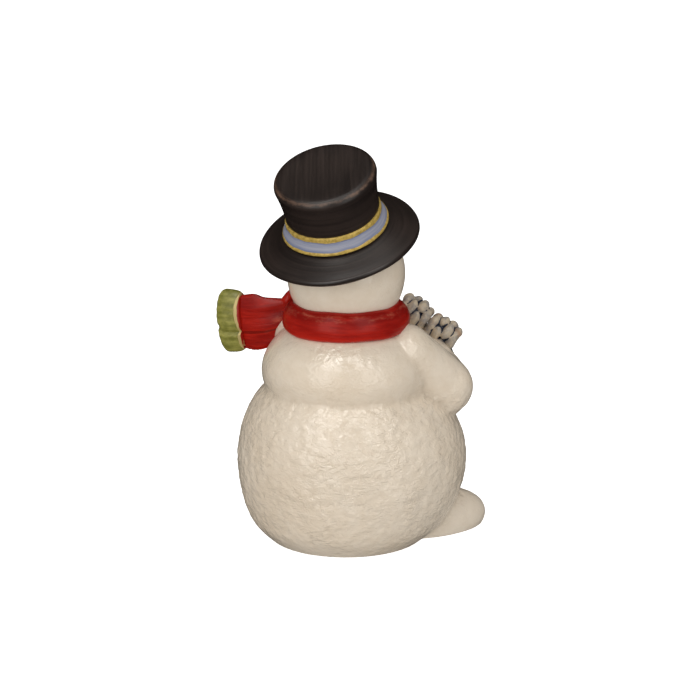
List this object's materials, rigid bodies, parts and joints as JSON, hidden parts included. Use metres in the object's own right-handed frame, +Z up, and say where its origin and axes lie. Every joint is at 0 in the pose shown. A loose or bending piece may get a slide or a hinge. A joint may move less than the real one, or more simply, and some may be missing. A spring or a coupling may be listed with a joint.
{
  "type": "snowman figurine",
  "caption": "Glazed ceramic snowman figurine with a tilted top hat, blown-out scarf, arms round a bunch of pine cones, standing on a flat foot.",
  "frame": {"origin": "middle of the flat foot that it stands on", "axes": "+Z up, the figure faces -Y, its right hand is towards -X"},
  "size_m": [0.1185, 0.1068, 0.1807],
  "materials": {
    "ivory_glaze": "warm cream glaze over dabbed clay",
    "black_brown_satin": "brushed black-brown underglaze, satin, worn at the edges",
    "lavender_underglaze": "brushed lavender blue between two gold lines",
    "red_underglaze": "brushed red underglaze",
    "olive_underglaze": "olive green underglaze with cream highlights",
    "cone_grey": "grey-tan with dark recesses",
    "fir_green": "dark green",
    "coal_black": "glossy black",
    "carrot_orange": "orange"
  },
  "bodies": {
    "root": {"lower_body": "ivory_glaze", "chest": "ivory_glaze", "head": "ivory_glaze", "arm_right": "ivory_glaze", "arm_left": "ivory_glaze", "foot_right": "ivory_glaze", "foot_left": "ivory_glaze", "hat_crown": "black_brown_satin", "hat_brim": "black_brown_satin", "hat_band": "lavender_underglaze", "scarf_wrap": "red_underglaze", "scarf_knot": "red_underglaze", "scarf_tail_side": "red_underglaze", "scarf_tail_front": "red_underglaze", "scarf_cuff_side": "olive_underglaze", "scarf_cuff_front": "olive_underglaze", "eye_right": "coal_black", "eye_left": "coal_black", "nose": "carrot_orange", "mouth_coal_1": "coal_black", "mouth_coal_2": "coal_black", "mouth_coal_3": "coal_black", "mouth_coal_4": "coal_black", "mouth_coal_5": "coal_black", "button_1": "coal_black", "button_2": "coal_black", "button_3": "coal_black", "pine_cone_upper": "cone_grey", "pine_cone_lower": "cone_grey", "fir_sprig_lower": "fir_green", "fir_sprig_upper": "fir_green"}
  },
  "joints": []
}
